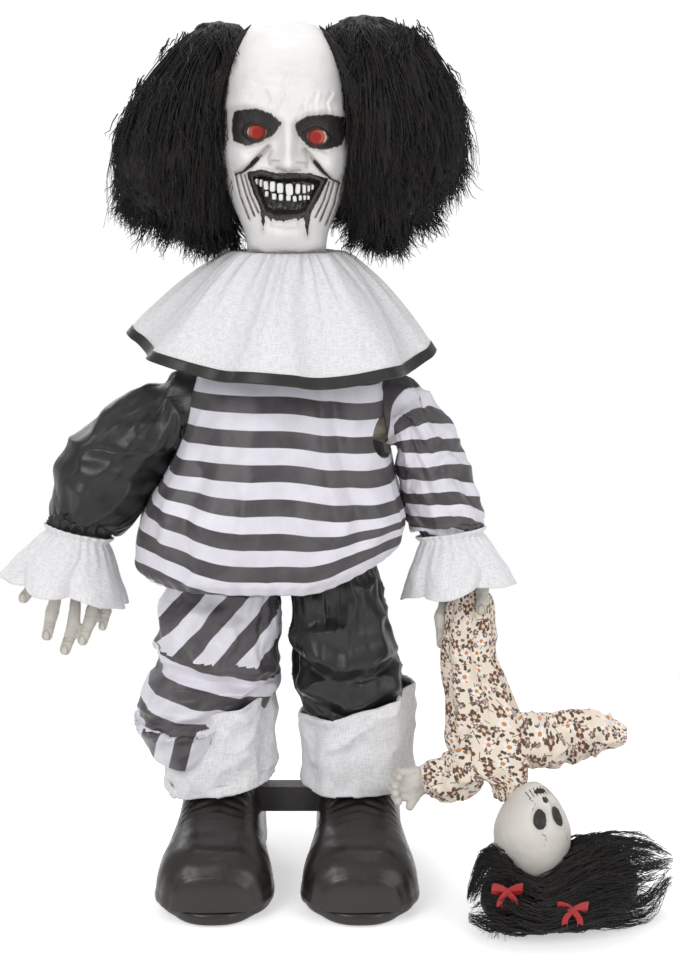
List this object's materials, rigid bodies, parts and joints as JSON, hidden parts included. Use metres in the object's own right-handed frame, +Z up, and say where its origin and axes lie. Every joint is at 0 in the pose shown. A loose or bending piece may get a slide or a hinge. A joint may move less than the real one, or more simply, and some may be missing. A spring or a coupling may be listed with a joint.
{
  "type": "animated halloween clown",
  "caption": "Animated Halloween clown figure in striped satin with a cape collar, turning head, light-up eyes and swaying legs, holding a rag doll head down.",
  "frame": {"origin": "on the floor under the middle of the figure's box", "axes": "+Z up, the clown faces -Y, its left hand with the doll is at +X"},
  "size_m": [0.6778, 0.352, 0.897],
  "materials": {
    "boot_plastic": "semi-gloss moulded black",
    "steel": "zinc-plated",
    "motor_can": "plated can",
    "gearbox_plastic": "dark grey",
    "chest_plastic": "cream moulding",
    "battery_plastic": "black, fine grain",
    "cell_jacket": "plain jacket, plated ends",
    "circuit_board": "solder mask",
    "switch_plastic": "light grey",
    "button_plastic": "red",
    "face_vinyl": "white vinyl with airbrushed black eye patches and mouth",
    "eye_lens": "red, lit from behind",
    "hair_fibre": "black synthetic fibre",
    "striped_satin": "lilac-white and charcoal stripes, satin",
    "black_satin": "black satin",
    "white_muslin": "white plain-weave muslin",
    "hand_vinyl": "ivory-grey vinyl",
    "doll_print": "cream cotton with a ditsy floral print",
    "doll_face": "off-white cloth with painted features",
    "ribbon_red": "red satin ribbon"
  },
  "bodies": {
    "base": {"right_boot": "boot_plastic", "right_sole": "boot_plastic", "left_boot": "boot_plastic", "left_sole": "boot_plastic", "foot_crossbar": "boot_plastic", "right_ankle_pin": "steel", "left_ankle_pin": "steel"},
    "right_leg": {"right_leg_strut": "steel", "right_hip_shaft": "steel", "right_trouser_leg": "striped_satin", "right_trouser_cuff": "white_muslin"},
    "torso": {"left_hip_pin": "steel", "pelvis_frame": "steel", "sway_gearbox": "gearbox_plastic", "sway_motor": "motor_can", "spine_tube": "steel", "torso_front_shell": "chest_plastic", "torso_rear_shell": "chest_plastic", "battery_box": "battery_plastic", "battery_cell_1": "cell_jacket", "battery_cell_2": "cell_jacket", "battery_cell_3": "cell_jacket", "control_board": "circuit_board", "speaker": "gearbox_plastic", "head_gearbox": "gearbox_plastic", "head_motor": "motor_can", "shirt": "striped_satin", "collar": "white_muslin", "collar_trim": "black_satin"},
    "left_leg": {"left_leg_strut": "steel", "left_trouser_leg": "black_satin", "left_trouser_cuff": "white_muslin"},
    "head": {"neck_shaft": "steel", "head_shell": "face_vinyl", "right_eye_lens": "eye_lens", "left_eye_lens": "eye_lens", "eye_light_board": "circuit_board", "right_hair": "hair_fibre", "left_hair": "hair_fibre"},
    "right_arm": {"right_shoulder_hub": "chest_plastic", "right_arm_tube": "steel", "right_sleeve": "black_satin", "right_sleeve_cuff": "white_muslin", "right_hand": "hand_vinyl"},
    "left_arm": {"left_shoulder_hub": "chest_plastic", "left_arm_tube": "steel", "left_sleeve": "striped_satin", "left_sleeve_cuff": "white_muslin", "left_hand": "hand_vinyl"},
    "doll": {"doll_body": "doll_print", "doll_right_sleeve": "doll_print", "doll_left_sleeve": "doll_print", "doll_hand": "hand_vinyl", "doll_head": "doll_face", "doll_hair": "hair_fibre", "doll_ribbon_1": "ribbon_red", "doll_ribbon_2": "ribbon_red"},
    "battery_door": {"battery_door": "battery_plastic"},
    "mode_switch": {"mode_switch": "switch_plastic"},
    "try_me_button": {"try_me_button": "button_plastic"}
  },
  "joints": [
    {"name": "sway", "type": "hinge", "parent": "base", "child": "right_leg", "pos_m": [-0.12158, 0.03827, 0.073], "axis": [0, 1, 0], "range_deg": [-5, 5], "deforming": ["right_trouser_leg", "left_trouser_leg"]},
    {"name": "right_hip", "type": "hinge", "parent": "right_leg", "child": "torso", "pos_m": [-0.12158, 0.03827, 0.345], "axis": [0, 1, 0], "range_deg": [-5, 5]},
    {"name": "left_hip", "type": "hinge", "parent": "torso", "child": "left_leg", "pos_m": [0.02742, 0.03827, 0.345], "axis": [0, 1, 0], "range_deg": [-5, 5]},
    {"name": "head_turn", "type": "hinge", "parent": "torso", "child": "head", "pos_m": [-0.04708, 0.03827, 0.64], "axis": [0, 0, 1], "range_deg": [-30, 30]},
    {"name": "right_shoulder", "type": "hinge", "parent": "torso", "child": "right_arm", "pos_m": [-0.15558, 0.03827, 0.485], "axis": [-1, 0, 0], "range_deg": [-20, 80], "deforming": ["right_sleeve"]},
    {"name": "left_shoulder", "type": "hinge", "parent": "torso", "child": "left_arm", "pos_m": [0.06142, 0.03827, 0.485], "axis": [-1, 0, 0], "range_deg": [0, 60], "deforming": ["left_sleeve"]},
    {"name": "doll_swing", "type": "hinge", "parent": "left_arm", "child": "doll", "pos_m": [0.13992, -0.00113, 0.312], "axis": [0, -1, 0], "range_deg": [0, 15]},
    {"name": "battery_door_hinge", "type": "hinge", "parent": "torso", "child": "battery_door", "pos_m": [-0.04708, 0.10477, 0.4098], "axis": [-1, 0, 0], "range_deg": [0, 95]},
    {"name": "mode_switch_slide", "type": "slide", "parent": "torso", "child": "mode_switch", "axis": [1, 0, 0], "range_m": [-0.003, 0.003]},
    {"name": "try_me_press", "type": "slide", "parent": "torso", "child": "try_me_button", "axis": [0, -1, 0], "range_m": [0, 0.003], "stiffness_N_per_m": 300}
  ],
  "couplings": [
    {"joint": "right_hip", "follows": "sway", "ratio": -1},
    {"joint": "left_hip", "follows": "sway", "ratio": 1}
  ]
}
